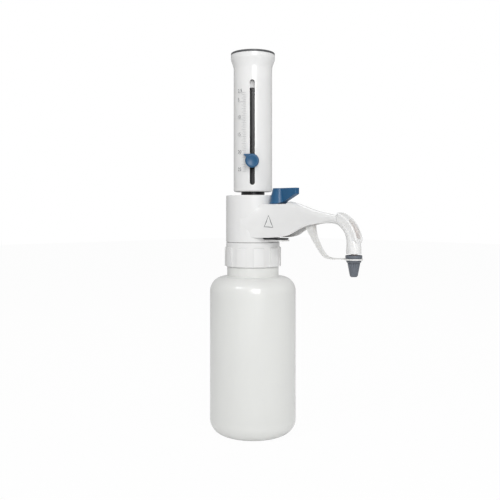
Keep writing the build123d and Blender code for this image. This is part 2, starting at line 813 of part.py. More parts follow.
with BuildPart() as slider_foot:
    with BuildSketch(Plane.XY.offset(foot_top - foot_height)):
        Circle(foot_outer)
        Circle(foot_inner, mode=Mode.SUBTRACT)
    extrude(amount=foot_height)
    with BuildSketch(slot_plane):
        with Locations((0, knob_z)):
            RectangleRounded(foot_width, foot_height, 1.0)
    extrude(amount=sleeve_radius, mode=Mode.INTERSECT)
    with BuildSketch(slot_plane.offset(foot_inner + 1.5)):
        with Locations((0, knob_z)):
            RectangleRounded(slot_width - 2 * tongue_gap, foot_height, 1.0)
    extrude(amount=sleeve_radius - foot_inner - 1.5)
    with BuildSketch(slot_plane):
        with Locations((0, knob_z)):
            Circle(screw_radius + running_gap)
    extrude(amount=sleeve_radius + 2, mode=Mode.SUBTRACT)
keep(slider_foot, "slider_foot")

knob_face = plate_face + plate_thickness + 0.2
with BuildPart() as slider_screw:
    with BuildSketch(slot_plane.offset(foot_inner + 0.3)):
        with Locations((0, knob_z)):
            Circle(screw_radius)
    extrude(amount=knob_face + 3.0 - foot_inner - 0.3)
keep(slider_screw, "slider_screw")

with BuildPart() as slider_knob:
    with BuildSketch(slot_plane.offset(knob_face)):
        with Locations((0, knob_z)):
            Circle(knob_radius)
    extrude(amount=knob_height)
    fillet(
        slider_knob.edges().filter_by(GeomType.CIRCLE).sort_by(slot_axis)[-1],
        radius=1.3,
    )
    dish_radius = (knob_dish_radius**2 + knob_dish**2) / (2 * knob_dish)
    dish_reach = knob_face + knob_height + dish_radius - knob_dish
    with Locations(slot_plane.offset(dish_reach).from_local_coords((0, knob_z, 0))):
        Sphere(dish_radius, mode=Mode.SUBTRACT)
    with BuildSketch(slot_plane.offset(knob_face)):
        with Locations((0, knob_z)):
            Circle(screw_radius + running_gap)
    extrude(amount=3.0, mode=Mode.SUBTRACT)
keep(slider_knob, "slider_knob")

# Valve lever on its spindle
spindle_top = lever_z + lever_height - lever_wall - 1.5
with BuildPart() as valve_spindle:
    with BuildSketch(Plane.XY.offset(spindle_foot)):
        with Locations((lever_axis, 0)):
            Circle(spindle_radius)
    extrude(amount=boss_top - ring_seat_depth - 0.2 - spindle_foot)
    with BuildSketch(Plane.XY.offset(boss_top - ring_seat_depth - 0.2)):
        with Locations((lever_axis, 0)):
            Circle(spindle_neck_radius)
    extrude(amount=spindle_top - boss_top + ring_seat_depth + 0.2)
    with BuildSketch(Plane.YZ.offset(lever_axis - spindle_radius)):
        with Locations((0, outlet_z)):
            Circle(channel_radius)
    extrude(amount=2 * spindle_radius, mode=Mode.SUBTRACT)
keep(valve_spindle, "valve_spindle")

with BuildPart() as spindle_ring:
    with BuildSketch(Plane.XZ):
        with Locations((lever_axis + spindle_ring_radius, boss_top - ring_section - running_gap)):
            Circle(ring_section)
    revolve(axis=Axis((lever_axis, 0, 0), (0, 0, 1)))
keep(spindle_ring, "spindle_ring")

with BuildPart() as valve_lever:
    with BuildSketch(Plane.XY.offset(lever_z)):
        with Locations((lever_axis + lever_reach / 2, 0)):
            Rectangle(lever_reach, 2 * lever_half_width)
    extrude(amount=lever_height)
    fillet(valve_lever.edges().filter_by(Axis.Z).sort_by(Axis.X)[-2:], radius=lever_tip_round)
    with BuildSketch(Plane.XY.offset(lever_z)):
        with Locations((lever_axis, 0)):
            Circle(lever_base_radius)
    with BuildSketch(Plane.XY.offset(lever_z + lever_height)):
        with Locations((lever_axis, 0)):
            Circle(lever_top_radius)
    loft()
    # slanted underside, from the hub's foot up to the tip
    with BuildSketch(Plane.XZ.offset(-lever_base_radius)):
        with BuildLine():
            Polyline(
                (lever_axis + lever_slope_start, lever_z),
                (lever_axis + lever_reach, lever_z + lever_height - lever_tip_height),
                (lever_axis + lever_reach + 1, lever_z + lever_height - lever_tip_height),
                (lever_axis + lever_reach + 1, lever_z - 1),
                (lever_axis + lever_slope_start, lever_z - 1),
                close=True,
            )
        make_face()
    extrude(amount=2 * lever_base_radius, mode=Mode.SUBTRACT)
    fillet(valve_lever.edges().group_by(Axis.Z)[-1], radius=lever_edge_round)
    with BuildSketch(Plane.XY.offset(lever_z)):
        with Locations((lever_axis, 0)):
            Circle(spindle_neck_radius + running_gap)
    extrude(amount=spindle_top - lever_z + 0.2, mode=Mode.SUBTRACT)
keep(valve_lever, "valve_lever")

# Discharge tube, its ferrule at the block and the nozzle at the end
tube_end_z = cap_top - 3.0
with BuildPart() as discharge_tube:
    with BuildSketch(Plane.YZ.offset(boss_end + 0.2)) as tube_section:
        with Locations((0, outlet_z)):
            Circle(tube_radius)
            Circle(tube_bore, mode=Mode.SUBTRACT)
    sweep(tube_section.sketch, path=tube_path(boss_end + 0.2, tube_end_z))
keep(discharge_tube, "discharge_tube")

with BuildPart() as tube_ferrule:
    with BuildSketch(Plane.YZ.offset(boss_end + 0.1)):
        with Locations((0, outlet_z)):
            RegularPolygon(5.2, 6)
            Circle(tube_radius + running_gap, mode=Mode.SUBTRACT)
    extrude(amount=6.0)
keep(tube_ferrule, "tube_ferrule")

nozzle_foot = tube_end_z - 3.0
with BuildPart() as nozzle:
    with BuildSketch(Plane.XY.offset(nozzle_foot)):
        with Locations((nozzle_x, 0)):
            Circle(nozzle_radius)
            Circle(tube_radius + running_gap, mode=Mode.SUBTRACT)
    extrude(amount=nozzle_length)
    fillet(nozzle.edges().group_by(Axis.Z)[0].sort_by(SortBy.RADIUS)[-1], radius=0.3)
keep(nozzle, "nozzle")

# Suction tubes and return tube in the bottle
suction_top = flange_z - 0.2
suction_upper_foot = suction_top - suction_upper_length
with BuildPart() as upper_suction_tube:
    tube(suction_upper_foot, suction_top, suction_radius, suction_radius - suction_wall)
keep(upper_suction_tube, "upper_suction_tube")

lower_radius = suction_radius - suction_wall - 2 * running_gap
lower_foot = bottle_wall + suction_floor_gap
with BuildPart() as lower_suction_tube:
    tube(lower_foot, suction_upper_foot + suction_overlap, lower_radius, lower_radius - lower_suction_wall)
    with BuildSketch(Plane.XZ.offset(-suction_radius)):
        with Locations((0, lower_foot)):
            Circle(1.4)
    extrude(amount=2 * suction_radius, mode=Mode.SUBTRACT)
keep(lower_suction_tube, "lower_suction_tube")

with BuildPart() as return_tube:
    with BuildSketch(Plane.XY.offset(flange_z + 5.8 - return_length)):
        with Locations((return_x, 0)):
            Circle(return_radius)
            Circle(return_radius - 0.6, mode=Mode.SUBTRACT)
    extrude(amount=return_length)
keep(return_tube, "return_tube")

# Nozzle cap: flange, neck for the tether's ring, fluted taper
cap_foot = cap_top - cap_length
ring_top = cap_top - cap_flange_height
body_top = ring_top - ring_height - 0.2
cap_axis = Axis((nozzle_x, 0, 0), (0, 0, 1))
with BuildPart() as nozzle_cap:
    with BuildSketch(Plane.XZ):
        with BuildLine():
            Polyline(
                (nozzle_x, cap_foot),
                (nozzle_x + cap_tip_radius - 0.5, cap_foot),
                (nozzle_x + cap_tip_radius + 0.3, cap_foot + 1.2),
                (nozzle_x + cap_body_radius - 0.2, body_top - 2.2),
                (nozzle_x + cap_body_radius + 0.6, body_top - 1.4),
                (nozzle_x + cap_body_radius + 0.75, body_top),
                (nozzle_x + cap_body_radius, body_top),
                (nozzle_x + cap_body_radius, ring_top),
                (nozzle_x + cap_flange_radius - 0.4, ring_top),
                (nozzle_x + cap_flange_radius, ring_top + 0.5),
                (nozzle_x + cap_flange_radius, cap_top - 0.5),
                (nozzle_x + cap_flange_radius - 0.4, cap_top),
                (nozzle_x + cap_mouth_radius, cap_top),
                (nozzle_x + cap_mouth_radius - 1.2, cap_top - 1.5),
                (nozzle_x + nozzle_radius + running_gap, cap_top - 2.4),
                (nozzle_x + nozzle_radius + running_gap, nozzle_foot - 0.6),
                (nozzle_x, nozzle_foot - 0.6),
                close=True,
            )
        make_face()
    revolve(axis=cap_axis)
    with BuildSketch(Plane.XY.offset(cap_foot - 1)):
        with Locations((nozzle_x, 0)):
            with PolarLocations(cap_body_radius + 0.35, cap_flutes, start_angle=cap_flute_turn):
                Circle(cap_flute_radius)
    extrude(amount=body_top - 2.0 - cap_foot + 1, taper=-2.5, mode=Mode.SUBTRACT)
keep(nozzle_cap, "nozzle_cap")

# Tether: ring around the cap's neck and the strap up to the arm
ring_outer = cap_flange_radius + ring_reach
with BuildPart() as cap_ring:
    with BuildSketch(Plane.XY.offset(ring_top - 0.1 - ring_height)):
        with Locations((nozzle_x, 0)):
            Circle(ring_outer)
            with Locations((ring_outer, 0)):
                RectangleRounded(2.4, 2.2, 0.6)
            Circle(cap_body_radius + running_gap, mode=Mode.SUBTRACT)
    extrude(amount=ring_height)
keep(cap_ring, "cap_ring")

ring_mid = ring_top - 0.1 - ring_height / 2
strap_top = outlet_z - tube_radius - 0.9
with BuildPart() as tether_clip:
    with BuildSketch(Plane.YZ.offset(strap_root_x - strap_root_width / 2)):
        with Locations((0, (strap_top + outlet_z + tube_radius + 0.9) / 2)):
            RectangleRounded(2 * strap_half_width, 2 * tube_radius + 1.8, 0.9)
        with Locations((0, outlet_z)):
            Circle(tube_radius + running_gap, mode=Mode.SUBTRACT)
    extrude(amount=strap_root_width)
keep(tether_clip, "tether_clip")
strap_end_x = nozzle_x - ring_outer - 0.1
strap_inner_line = [(-5.6, 0.0), (0.3, 9.5), (9.6, 22.0), (18.2, 30.2)]
strap_outer_line = [(5.4, 0.0), (6.2, 9.0), (12.3, 21.4), (19.6, 28.9)]
with BuildPart() as tether_strap:
    with BuildSketch(Plane.XZ.offset(-strap_half_width)):
        inner_points = [(strap_root_x + x, strap_top - drop) for x, drop in strap_inner_line]
        outer_points = [(strap_root_x + x, strap_top - drop) for x, drop in strap_outer_line]
        with BuildLine():
            Spline(*inner_points, (strap_end_x - 10.0, ring_mid - 0.9), (strap_end_x, ring_mid - 0.5))
            Line((strap_end_x, ring_mid - 0.5), (strap_end_x, ring_mid + 0.5))
            Spline(*outer_points, (strap_end_x - 10.0, ring_mid + 0.3), (strap_end_x, ring_mid + 0.5))
            Line(outer_points[0], inner_points[0])
        make_face()
    extrude(amount=2 * strap_half_width)
    with BuildSketch(Plane.XY.offset(ring_mid - 5)):
        with BuildLine():
            Polyline(
                (strap_root_x - 8, -strap_half_width),
                (strap_end_x + 1, -strap_end_half_width),
                (strap_end_x + 1, strap_end_half_width),
                (strap_root_x - 8, strap_half_width),
                close=True,
            )
        make_face()
    extrude(amount=strap_top - ring_mid + 10, mode=Mode.INTERSECT)
keep(tether_strap, "tether_strap")

for piece in pieces:
    export_step(piece, f"parts/{piece.label}.step")
print("pieces", len(pieces))
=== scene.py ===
import bmesh
import bpy
import json
import math
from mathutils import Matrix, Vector
from mathutils.bvhtree import BVHTree


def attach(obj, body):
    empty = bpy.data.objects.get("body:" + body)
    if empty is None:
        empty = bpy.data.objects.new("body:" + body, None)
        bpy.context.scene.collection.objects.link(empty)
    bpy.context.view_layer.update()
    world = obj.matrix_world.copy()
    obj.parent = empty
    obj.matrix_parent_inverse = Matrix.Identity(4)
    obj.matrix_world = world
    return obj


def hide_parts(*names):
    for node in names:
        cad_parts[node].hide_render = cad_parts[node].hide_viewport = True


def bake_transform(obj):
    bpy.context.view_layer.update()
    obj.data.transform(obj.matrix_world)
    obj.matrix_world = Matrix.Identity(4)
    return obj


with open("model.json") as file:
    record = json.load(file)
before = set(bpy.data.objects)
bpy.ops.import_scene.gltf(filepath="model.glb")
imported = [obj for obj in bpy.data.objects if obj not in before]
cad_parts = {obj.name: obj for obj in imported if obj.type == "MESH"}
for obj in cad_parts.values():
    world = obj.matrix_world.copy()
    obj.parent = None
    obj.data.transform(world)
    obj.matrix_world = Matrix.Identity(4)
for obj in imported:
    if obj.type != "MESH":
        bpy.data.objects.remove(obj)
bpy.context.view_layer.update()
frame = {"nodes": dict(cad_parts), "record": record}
nodes = frame["nodes"]
mm = 0.001
print("frame loaded,", len(nodes), "nodes")


class Wire:
    # wraps a shader socket so that maths on it reads as plain arithmetic
    def __init__(self, maker, socket):
        self.maker = maker
        self.socket = socket

    def maths(self, operation, other=None, flipped=False):
        values = [self] if other is None else [self, other]
        if flipped:
            values.reverse()
        node = self.maker.add("ShaderNodeMath", {"operation": operation}, dict(enumerate(values)))
        return Wire(self.maker, node.outputs[0])

    def __add__(self, other): return self.maths("ADD", other)
    def __radd__(self, other): return self.maths("ADD", other, True)
    def __sub__(self, other): return self.maths("SUBTRACT", other)
    def __rsub__(self, other): return self.maths("SUBTRACT", other, True)
    def __mul__(self, other): return self.maths("MULTIPLY", other)
    def __rmul__(self, other): return self.maths("MULTIPLY", other, True)

    def clamp(self):
        node = self.maker.add("ShaderNodeClamp", {}, {"Value": self})
        return Wire(self.maker, node.outputs[0])

    def between(self, low, high):  # 0 below low, 1 above high, smooth between
        node = self.maker.add(
            "ShaderNodeMapRange", {"interpolation_type": "SMOOTHSTEP"},
            {"Value": self, "From Min": low, "From Max": high},
        )
        return Wire(self.maker, node.outputs[0])


class Finish:
    # one material and the few calls that build its nodes
    def __init__(self, name):
        self.material = bpy.data.materials.new(name)
        self.material.use_nodes = True
        self.tree = self.material.node_tree
        self.tree.nodes.clear()
        self.output = self.add("ShaderNodeOutputMaterial")

    def add(self, kind, settings=None, sockets=None):
        node = self.tree.nodes.new(kind)
        for key, value in (settings or {}).items():
            setattr(node, key, value)
        for key, value in (sockets or {}).items():
            if isinstance(value, Wire):
                self.tree.links.new(value.socket, node.inputs[key])
            elif isinstance(value, bpy.types.NodeSocket):
                self.tree.links.new(value, node.inputs[key])
            else:
                node.inputs[key].default_value = value
        return node

    def wire(self, kind, settings=None, sockets=None, output=0):
        return Wire(self, self.add(kind, settings, sockets).outputs[output])

    def place(self, scale=(1, 1, 1)):
        coordinates = self.add("ShaderNodeTexCoord")
        return self.wire(
            "ShaderNodeMapping", {},
            {"Vector": coordinates.outputs["Object"], "Scale": scale},
        )

    def noise(self, scale, detail=3.0, roughness=0.55, where=None):
        return self.wire(
            "ShaderNodeTexNoise", {},
            {
                "Vector": where or self.place(), "Scale": scale,
                "Detail": detail, "Roughness": roughness,
            },
        )

    def blendColour(self, factor, first, second):
        return self.wire(
            "ShaderNodeMix", {"data_type": "RGBA"},
            {0: factor, 6: (*first, 1.0), 7: (*second, 1.0)}, output=2,
        )

    def bump(self, height, strength, distance):
        return self.wire(
            "ShaderNodeBump", {},
            {"Height": height, "Strength": strength, "Distance": distance},
        )

    def surface(self, **sockets):
        names = {key.replace("_", " "): value for key, value in sockets.items()}
        shader = self.add("ShaderNodeBsdfPrincipled", {}, names)
        self.tree.links.new(shader.outputs[0], self.output.inputs[0])
        return self.material


def shade(colour, factor):
    return tuple(min(1.0, value * factor) for value in colour)


moulded = {
    "cloudFrom": 0.3, "cloudTo": 0.7, "grainDepth": 0.05 * mm, "coatRoughness": 0.12,
    "depthScale": 4 * mm, "depthColour": (1.0, 0.95, 0.85), "refraction": 1.5,
}


def mouldedPlastic(name, look):
    # injection-moulded plastic: faint cloudiness, fine grain, slightly uneven gloss
    finish = Finish(name)
    cloud = finish.noise(look["cloudScale"], 2.0)
    grain = finish.noise(look["grainScale"], 2.0, 0.6)
    gloss = look["roughness"] + (cloud - 0.5) * look["glossSwing"]
    patches = cloud.between(moulded["cloudFrom"], moulded["cloudTo"])
    tone = finish.blendColour(
        patches, shade(look["colour"], 1 - look["toneSwing"]), look["colour"]
    )
    return finish.surface(
        Base_Color=tone, Roughness=gloss,
        Normal=finish.bump(grain, look["grain"], moulded["grainDepth"]),
        Coat_Weight=look.get("coat", 0.0), Coat_Roughness=moulded["coatRoughness"],
        Subsurface_Weight=look.get("depth", 0.0), Subsurface_Radius=moulded["depthColour"],
        Subsurface_Scale=moulded["depthScale"], IOR=moulded["refraction"],
    )


def bottlePlastic(look):
    # blow-moulded natural plastic: milky, a little denser in the base, shoulder and neck
    finish = Finish("naturalBottle")
    place = finish.place()
    height = finish.add("ShaderNodeSeparateXYZ", {}, {"Vector": place}).outputs["Z"]
    height = Wire(finish, height)
    dense = 1 - height.between(look["baseFrom"], look["baseTo"])
    dense = dense + height.between(look["shoulderFrom"], look["shoulderTo"])
    cloud = finish.noise(look["cloudScale"], 3.0, 0.5, finish.place(scale=look["stretch"]))
    share = (dense * look["denseShare"] + cloud * look["cloudShare"]).clamp()
    tone = finish.blendColour(share, look["colour"], look["denseColour"])
    grain = finish.noise(look["grainScale"], 2.0)
    return finish.surface(
        Base_Color=tone, Roughness=look["roughness"] + (cloud - 0.5) * look["glossSwing"],
        Normal=finish.bump(grain, look["grain"], look["grainDepth"]),
        Subsurface_Weight=look["depth"], Subsurface_Radius=look["depthColour"],
        Subsurface_Scale=look["depthScale"], IOR=look["refraction"],
        Coat_Weight=look["coat"], Coat_Roughness=look["coatRoughness"],
        Sheen_Weight=look["sheen"], Sheen_Roughness=look["sheenRoughness"],
    )


def clearGlass(look):
    finish = Finish("barrelGlass")
    ripple = finish.noise(look["rippleScale"], 2.0)
    return finish.surface(
        Base_Color=(*look["colour"], 1.0),
        Roughness=look["roughness"] + ripple * look["glossSwing"],
        Transmission_Weight=1.0, IOR=look["refraction"],
    )


def sealRubber(look):
    finish = Finish("sealRubber")
    grain = finish.noise(look["grainScale"], 2.0)
    return finish.surface(
        Base_Color=finish.blendColour(
            grain, look["colour"], shade(look["colour"], look["worn"])
        ),
        Roughness=look["roughness"] + grain * look["glossSwing"],
        Normal=finish.bump(grain, look["grain"], look["grainDepth"]),
    )


def springSteel(look):
    finish = Finish("springSteel")
    draw = finish.noise(look["drawScale"], 2.0, 0.5, finish.place(scale=look["stretch"]))
    return finish.surface(
        Base_Color=(*look["colour"], 1.0), Metallic=1.0,
        Roughness=look["roughness"] + draw * look["glossSwing"],
    )


looks = {
    "white_plastic": {
        "colour": (0.80, 0.80, 0.795), "roughness": 0.26, "glossSwing": 0.06, "toneSwing": 0.02,
        "cloudScale": 45.0, "grainScale": 3200.0, "grain": 0.06, "coat": 0.25, "depth": 0.08,
    },
    # block_plastic is near black: partly the valve block's own dark colour, partly painted shade
    # for the dark hollow under the arm
    "block_plastic": {
        "colour": (0.035, 0.036, 0.038), "roughness": 0.42, "glossSwing": 0.06, "toneSwing": 0.03,
        "cloudScale": 60.0, "grainScale": 2600.0, "grain": 0.1,
    },
    "seal_plastic": {
        "colour": (0.80, 0.80, 0.78), "roughness": 0.45, "glossSwing": 0.05, "toneSwing": 0.03,
        "cloudScale": 80.0, "grainScale": 2200.0, "grain": 0.08, "depth": 0.1,
    },
    "dark_plastic": {
        "colour": (0.012, 0.012, 0.014), "roughness": 0.28, "glossSwing": 0.05, "toneSwing": 0.2,
        "cloudScale": 40.0, "grainScale": 2800.0, "grain": 0.03,
    },
    "grey_plastic": {
        "colour": (0.085, 0.087, 0.09), "roughness": 0.38, "glossSwing": 0.08, "toneSwing": 0.08,
        "cloudScale": 60.0, "grainScale": 2400.0, "grain": 0.12,
    },
    "blue_plastic": {
        "colour": (0.009, 0.088, 0.205), "roughness": 0.36, "glossSwing": 0.06, "toneSwing": 0.06,
        "cloudScale": 70.0, "grainScale": 2600.0, "grain": 0.08, "coat": 0.06,
    },
    "cap_plastic": {
        "colour": (0.115, 0.130, 0.155), "roughness": 0.36, "glossSwing": 0.08, "toneSwing": 0.08,
        "cloudScale": 120.0, "grainScale": 2400.0, "grain": 0.12, "coat": 0.3,
    },
    "strap_plastic": {
        "colour": (0.74, 0.74, 0.725), "roughness": 0.40, "glossSwing": 0.08, "toneSwing": 0.03,
        "cloudScale": 110.0, "grainScale": 2400.0, "grain": 0.12, "depth": 0.1,
    },
    "tube_plastic": {
        "colour": (0.62, 0.45, 0.38), "roughness": 0.34, "glossSwing": 0.08, "toneSwing": 0.06,
        "cloudScale": 150.0, "grainScale": 2000.0, "grain": 0.1, "depth": 0.15,
    },
    "clear_tube": {
        "colour": (0.70, 0.70, 0.68), "roughness": 0.36, "glossSwing": 0.06, "toneSwing": 0.04,
        "cloudScale": 120.0, "grainScale": 2000.0, "grain": 0.08, "depth": 0.2,
    },
}
bottleLook = {
    "colour": (0.825, 0.835, 0.805), "denseColour": (0.87, 0.875, 0.85), "denseShare": 0.5,
    "baseFrom": 0.004, "baseTo": 0.020, "shoulderFrom": 0.125, "shoulderTo": 0.150,
    "cloudScale": 14.0, "cloudShare": 0.35, "stretch": (1, 1, 0.35), "glossSwing": 0.08,
    "grainScale": 1400.0, "grain": 0.16, "grainDepth": 0.06 * mm, "roughness": 0.38,
    "depth": 0.25, "depthColour": (1.0, 1.0, 0.95), "depthScale": 12 * mm, "refraction": 1.5,
    "coat": 0.8, "coatRoughness": 0.07, "sheen": 0.35, "sheenRoughness": 0.4,
}

materials = {slot: mouldedPlastic(slot, look) for slot, look in looks.items()}
materials["natural_plastic"] = bottlePlastic(bottleLook)
materials["clear_glass"] = clearGlass({
    "colour": (0.95, 0.97, 0.97), "rippleScale": 60.0, "roughness": 0.02, "glossSwing": 0.02,
    "refraction": 1.47,
})
materials["ring_rubber"] = sealRubber({
    "colour": (0.018, 0.018, 0.018), "worn": 1.6, "roughness": 0.55, "glossSwing": 0.2,
    "grainScale": 2600.0, "grain": 0.25, "grainDepth": 0.1 * mm,
})
materials["spring_steel"] = springSteel({
    "colour": (0.58, 0.58, 0.57), "drawScale": 900.0, "stretch": (1, 1, 12),
    "roughness": 0.24, "glossSwing": 0.14,
})
ink = mouldedPlastic("scaleInk", {
    "colour": (0.05, 0.052, 0.06), "roughness": 0.5, "glossSwing": 0.05, "toneSwing": 0.1,
    "cloudScale": 300.0, "grainScale": 3000.0, "grain": 0.05,
})
slotOf = {entry["node"]: entry["material_slot"] for entry in frame["record"]["subparts"]}
for nodeName, nodeObject in nodes.items():
    nodeObject.data.materials.clear()
    nodeObject.data.materials.append(materials[slotOf[nodeName]])
print("materials ready,", len(materials))


def keepPiece(piece, body, slot, material=None):
    # puts a finished mesh on its body with its finish
    piece.data.materials.clear()
    piece.data.materials.append(material or materials[slot])
    for polygon in piece.data.polygons:
        polygon.material_index = 0
    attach(piece, body)
    return piece


def meshObject(name, bm):
    mesh = bpy.data.meshes.new(name)
    bm.to_mesh(mesh)
    bm.free()
    piece = bpy.data.objects.new(name, mesh)
    bpy.context.collection.objects.link(piece)
    return piece


# Printed scale on the plunger sleeve: ticks from a node tree, figures from type
scaleLook = {
    "radius": 18.5 * mm, "proud": 0.05 * mm, "line": 0.5 * mm,
    "zero": 331.7 * mm, "perMl": 3.298 * mm, "tickLift": 0.25, "arcSteps": 12,
    "short": (-73.0, -63.0), "medium": (-78.0, -63.0), "long": (-90.0, -63.0),
    "figureHeight": 3.2 * mm, "figureFrom": -93.0, "figureLift": 0.7 * mm,
    "figureCurves": 3, "figureDepth": 0.02, "figureFace": 0.35, "figureBack": -0.5,
    "figures": (2.5, 5, 10, 15, 20, 25),
}
# each row of ticks runs up the sleeve from its largest volume, in millilitres
tickRows = {
    "halfTicks": {"count": 22, "largest": 24.5, "every": 1, "arc": "short"},
    "wholeTicks": {"count": 23, "largest": 25, "every": 1, "arc": "medium"},
    "fiveTicks": {"count": 5, "largest": 25, "every": 5, "arc": "long"},
    "firstTick": {"count": 1, "largest": 2.5, "every": 1, "arc": "long"},
}


def buildTickTree():
    # a curved bar, copied up the sleeve at even steps
    tree = bpy.data.node_groups.new("scaleTicks", "GeometryNodeTree")
    tree.interface.new_socket("Geometry", in_out="OUTPUT", socket_type="NodeSocketGeometry")
    for name, kind in (
        ("Count", "NodeSocketInt"), ("Start", "NodeSocketFloat"), ("Step", "NodeSocketFloat"),
        ("Radius", "NodeSocketFloat"), ("From", "NodeSocketFloat"), ("Sweep", "NodeSocketFloat"),
        ("Line", "NodeSocketFloat"), ("Proud", "NodeSocketFloat"), ("Ink", "NodeSocketMaterial"),
    ):
        tree.interface.new_socket(name, in_out="INPUT", socket_type=kind)
    given = tree.nodes.new("NodeGroupInput").outputs
    result = tree.nodes.new("NodeGroupOutput")

    def add(kind, settings=None, sockets=None):
        node = tree.nodes.new(kind)
        for key, value in (settings or {}).items():
            setattr(node, key, value)
        for key, value in (sockets or {}).items():
            if isinstance(value, bpy.types.NodeSocket):
                tree.links.new(value, node.inputs[key])
            else:
                node.inputs[key].default_value = value
        return node

    arc = add("GeometryNodeCurveArc", {}, {
        "Resolution": scaleLook["arcSteps"], "Radius": given["Radius"],
        "Start Angle": given["From"], "Sweep Angle": given["Sweep"],
    })
    upright = add("GeometryNodeSetCurveNormal", {}, {"Curve": arc.outputs["Curve"]})
    bar = add("GeometryNodeCurvePrimitiveQuadrilateral", {}, {
        "Width": given["Line"], "Height": given["Proud"],
    })
    solid = add("GeometryNodeCurveToMesh", {}, {
        "Curve": upright.outputs[0], "Profile Curve": bar.outputs[0], "Fill Caps": True,
    })
    start = add("ShaderNodeCombineXYZ", {}, {"Z": given["Start"]})
    step = add("ShaderNodeCombineXYZ", {}, {"Z": given["Step"]})
    points = add("GeometryNodeMeshLine", {"mode": "OFFSET"}, {
        "Count": given["Count"], "Start Location": start.outputs[0], "Offset": step.outputs[0],
    })
    copies = add("GeometryNodeInstanceOnPoints", {}, {
        "Points": points.outputs[0], "Instance": solid.outputs[0],
    })
    real = add("GeometryNodeRealizeInstances", {}, {0: copies.outputs[0]})
    inked = add("GeometryNodeSetMaterial", {}, {0: real.outputs[0], "Material": given["Ink"]})
    tree.links.new(inked.outputs[0], result.inputs[0])
    return tree


tickTree = buildTickTree()


def tickRow(name, count, start, step, arc):
    holder = bpy.data.objects.new(name, bpy.data.meshes.new(name))
    bpy.context.collection.objects.link(holder)
    modifier = holder.modifiers.new("ticks", "NODES")
    modifier.node_group = tickTree
    wanted = {
        "Count": count, "Start": start, "Step": step,
        "Radius": scaleLook["radius"] + scaleLook["proud"] * scaleLook["tickLift"],
        "From": math.radians(arc[0]), "Sweep": math.radians(arc[1] - arc[0]),
        "Line": scaleLook["line"], "Proud": scaleLook["proud"], "Ink": ink,
    }
    for item in tickTree.interface.items_tree:
        if item.in_out == "INPUT":
            modifier[item.identifier] = wanted[item.name]
    bpy.context.view_layer.update()
    evaluated = holder.evaluated_get(bpy.context.evaluated_depsgraph_get())
    mesh = bpy.data.meshes.new_from_object(evaluated)
    holder.modifiers.clear()
    holder.data = mesh
    holder.data.name = name
    return holder


def joined(name, parts):
    # one mesh out of several
    bm = bmesh.new()
    for part in parts:
        bm.from_mesh(part.data)
        bpy.data.objects.remove(part)
    return meshObject(name, bm)


def tickZ(value):
    return scaleLook["zero"] - value * scaleLook["perMl"]


rows = []
for rowName, row in tickRows.items():
    step = scaleLook["perMl"] * row["every"]
    arc = scaleLook[row["arc"]]
    rows.append(tickRow(rowName, row["count"], tickZ(row["largest"]), step, arc))
keepPiece(joined("scale_ticks", rows), "plunger", "grey_plastic", ink)


def wrappedText(name, words, height, angle, z):
    # type laid round the sleeve, reading to the right from the given angle
    curve = bpy.data.curves.new(name, "FONT")
    curve.body = words
    curve.size = 1.0
    curve.resolution_u = scaleLook["figureCurves"]
    curve.extrude = scaleLook["figureDepth"]
    holder = bpy.data.objects.new(name, curve)
    bpy.context.collection.objects.link(holder)
    bpy.context.view_layer.update()
    evaluated = holder.evaluated_get(bpy.context.evaluated_depsgraph_get())
    mesh = bpy.data.meshes.new_from_object(evaluated)
    bpy.data.objects.remove(holder)
    low = min(v.co.y for v in mesh.vertices)
    high = max(v.co.y for v in mesh.vertices)
    left = min(v.co.x for v in mesh.vertices)
    factor = height / (high - low)
    for vertex in mesh.vertices:
        turn = math.radians(angle) + (vertex.co.x - left) * factor / scaleLook["radius"]
        lift = scaleLook["figureFace"] if vertex.co.z > 0 else scaleLook["figureBack"]
        out = scaleLook["radius"] + scaleLook["proud"] * lift
        up = z + (vertex.co.y - low) * factor
        vertex.co = (out * math.cos(turn), out * math.sin(turn), up)
    piece = bpy.data.objects.new(name, mesh)
    bpy.context.collection.objects.link(piece)
    return piece


figures = []
for value in scaleLook["figures"]:
    figures.append(wrappedText(
        "figure", f"{value:g}", scaleLook["figureHeight"], scaleLook["figureFrom"],
        tickZ(value) + scaleLook["figureLift"],
    ))
scaleFigures = keepPiece(joined("scale_figures", figures), "plunger", "grey_plastic", ink)
print("scale printed,", len(scaleFigures.data.polygons), "faces in the figures")

# Slim outlined arrow printed on the root of the arm, laid on the housing's surface
arrowLook = {
    "corners": ((14.2, 208.4), (10.0, 197.3), (18.4, 196.8)), "line": 0.6 * mm, "steps": 14,
    "proud": 0.05 * mm, "facing": 47.0, "standOff": 0.2,
}


def arrowOutline():
    # a closed thin band along each side of the arrow, cast onto the housing from outside
    facing = math.radians(arrowLook["facing"])
    outward = Vector((math.sin(facing), -math.cos(facing), 0))
    across = Vector((math.cos(facing), math.sin(facing), 0))
    surface = BVHTree.FromObject(nodes["housing"], bpy.context.evaluated_depsgraph_get())
    middle = Vector([sum(corner[axis] for corner in arrowLook["corners"]) / 3 for axis in (0, 1)])
    bm = bmesh.new()
    rings = []
    corners = [Vector(corner) for corner in arrowLook["corners"]]
    for index, corner in enumerate(corners):
        following = corners[(index + 1) % len(corners)]
        for step in range(arrowLook["steps"]):
            edge = corner.lerp(following, step / arrowLook["steps"])
            inner = edge + (middle - edge).normalized() * arrowLook["line"] / mm
            ring = []
            for spot, side in ((edge, -1), (inner, -1), (inner, 1), (edge, 1)):
                start = across * spot.x * mm + outward * arrowLook["standOff"]
                start.z = spot.y * mm
                hit, normal = surface.ray_cast(start, -outward)[:2]
                ring.append(bm.verts.new(hit + normal * side * arrowLook["proud"]))
            rings.append(ring)
    for ring, following in zip(rings, rings[1:] + rings[:1]):
        for index in range(len(ring)):
            beside = (index + 1) % len(ring)
            bm.faces.new((ring[index], ring[beside], following[beside], following[index]))
    bmesh.ops.recalc_face_normals(bm, faces=bm.faces)
    return meshObject("arrow_print", bm)


